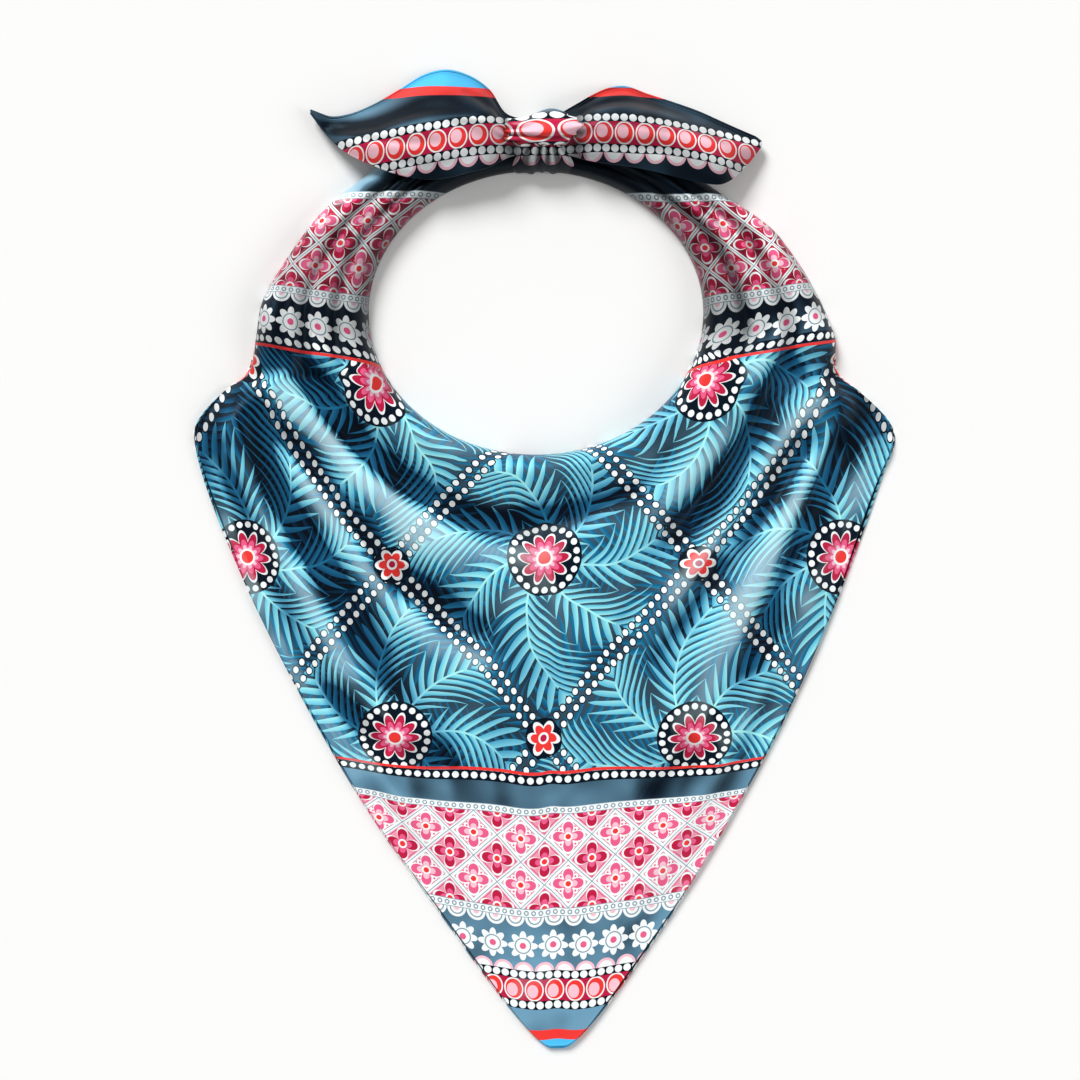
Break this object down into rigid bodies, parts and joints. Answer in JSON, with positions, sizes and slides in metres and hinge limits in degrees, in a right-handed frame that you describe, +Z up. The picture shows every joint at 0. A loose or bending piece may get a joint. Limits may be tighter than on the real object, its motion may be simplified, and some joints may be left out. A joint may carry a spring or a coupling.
{
  "type": "silk square scarf, folded to a triangle and tied, laid flat",
  "caption": "Square scarf folded corner to corner and tied in a loop with a square knot and two tie ends, laid flat with soft folds.",
  "frame": {"origin": "on the surface the scarf lies on, under the middle of its outline", "axes": "+Z up from the surface, +Y from the point of the scarf towards the knot, +X to the right seen from above"},
  "size_m": [0.329, 0.4594, 0.0239],
  "materials": {
    "silk_print": "satin printed silk",
    "silk_under": "satin silk, lower ply"
  },
  "bodies": {
    "root": {"under_layer": "silk_under", "front_drape": "silk_print", "left_band": "silk_print", "right_band": "silk_print", "left_tail": "silk_print", "right_tail": "silk_print", "knot_heart": "silk_print", "knot_strap": "silk_print"}
  },
  "joints": []
}
